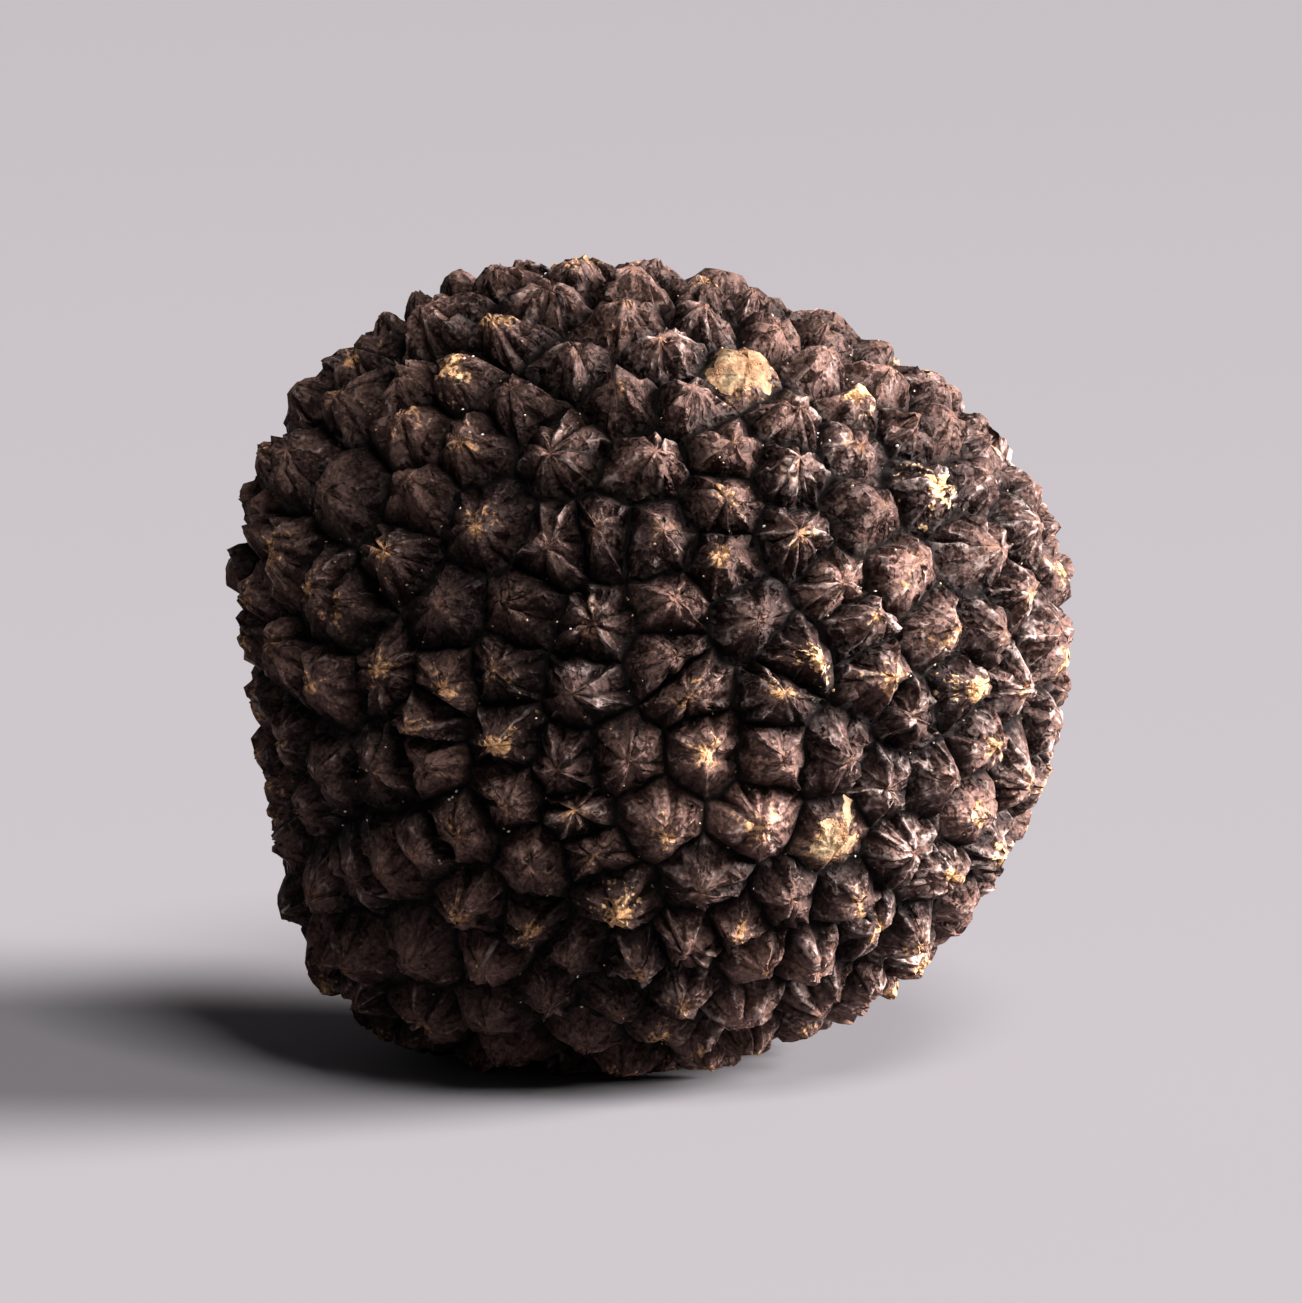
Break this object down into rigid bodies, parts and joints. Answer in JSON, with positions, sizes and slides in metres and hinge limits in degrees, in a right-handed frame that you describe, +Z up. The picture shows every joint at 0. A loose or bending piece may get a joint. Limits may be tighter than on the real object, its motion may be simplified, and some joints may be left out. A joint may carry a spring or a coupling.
{
  "type": "black truffle",
  "caption": "Whole black truffle: a lumpy ball of dark rind covered all over in polygonal pyramid warts with narrow furrows between them, pressed flat where it rests.",
  "frame": {"origin": "middle of the bounding box's base, on the surface that the truffle rests on", "axes": "+Z up; +X along the longest side, to the right as the truffle is usually seen; -Y towards the viewer"},
  "size_m": [0.0522, 0.0492, 0.0495],
  "materials": {
    "rind": "matte"
  },
  "bodies": {
    "root": {"black_truffle": "rind"}
  },
  "joints": []
}
